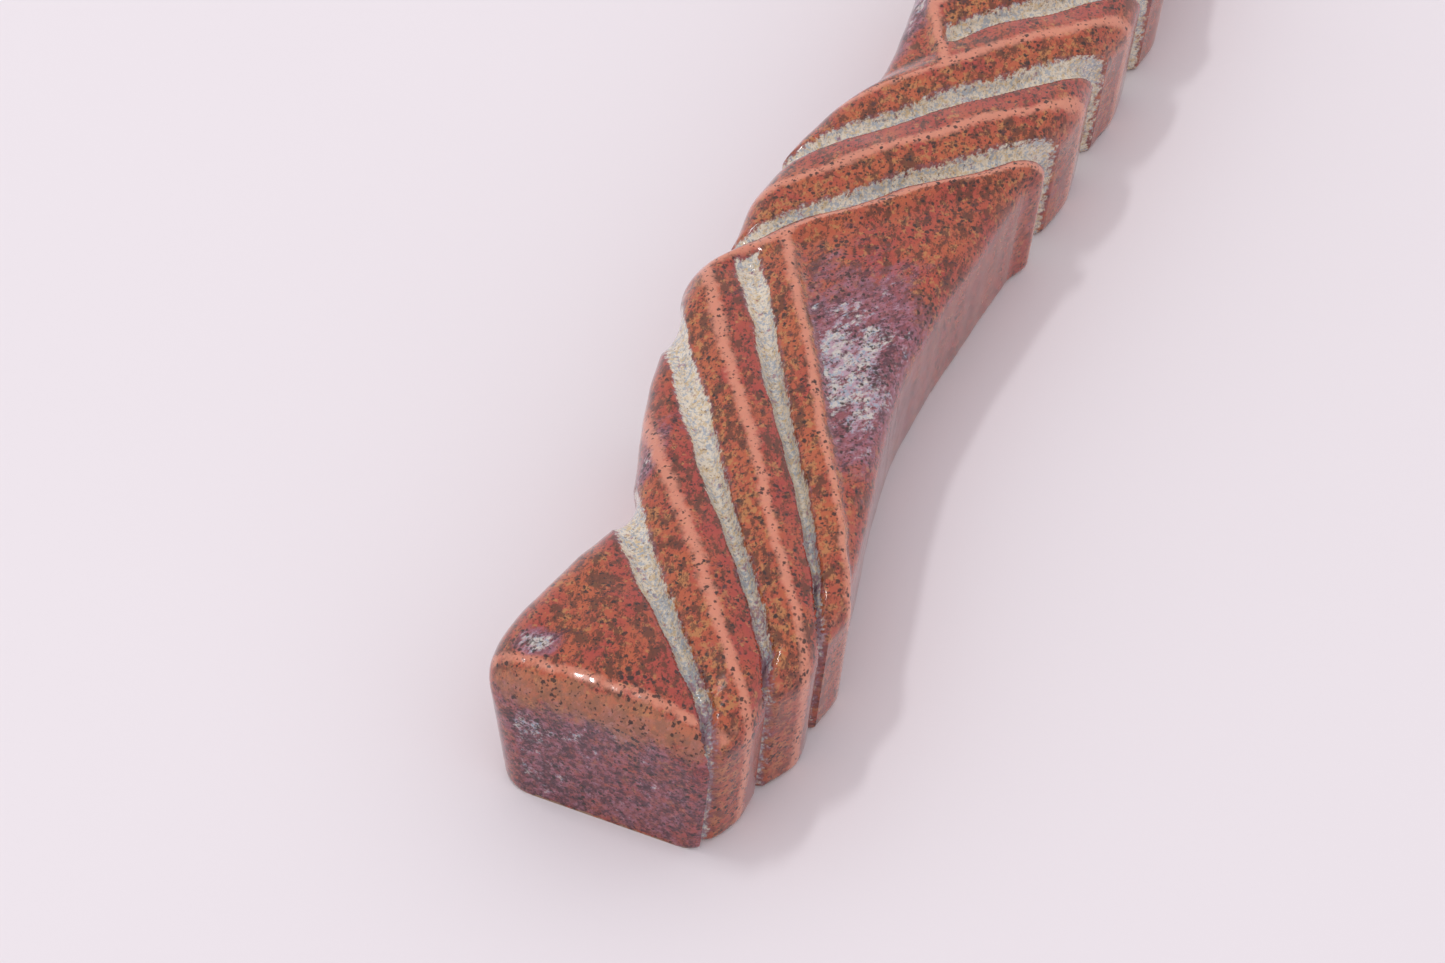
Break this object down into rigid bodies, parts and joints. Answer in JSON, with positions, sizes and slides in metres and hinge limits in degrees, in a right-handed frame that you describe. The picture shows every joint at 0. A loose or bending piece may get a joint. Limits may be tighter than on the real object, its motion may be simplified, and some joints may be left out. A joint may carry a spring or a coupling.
{
  "type": "mezuzah case",
  "caption": "Wavy glazed ceramic mezuzah case with carved diagonal grooves, hollow back chamber with keyholes, neck stopper and a sleeved parchment scroll.",
  "frame": {"origin": "point on the flat back half-way along the case, under the axis of the neck bore", "axes": "+Z out of the carved front, +Y from the closed bottom end to the stoppered top end, +X across the case to the right of the carved front as seen with the top end up; the case lies on its back on z = 0"},
  "size_m": [0.0318, 0.1524, 0.018],
  "materials": {
    "glazed_stoneware": "glossy mottled glaze over stoneware, bare clay on the back and inside",
    "stopper_rubber": "matt moulded rubber",
    "clear_film": "clear glossy film",
    "parchment": "matt animal-skin parchment"
  },
  "bodies": {
    "case": {"case_shell": "glazed_stoneware"},
    "stopper": {"neck_stopper": "stopper_rubber"},
    "scroll": {"parchment_scroll": "parchment", "scroll_sleeve": "clear_film"}
  },
  "joints": [
    {"name": "stopper_pull", "type": "slide", "parent": "case", "child": "stopper", "axis": [0, 1, 0], "range_m": [0, 0.15]},
    {"name": "scroll_draw", "type": "slide", "parent": "case", "child": "scroll", "axis": [0, 1, 0], "range_m": [0, 0.12]}
  ],
  "couplings": [
    {"joint": "scroll_draw", "follows": "stopper_pull", "ratio": 0.8}
  ]
}
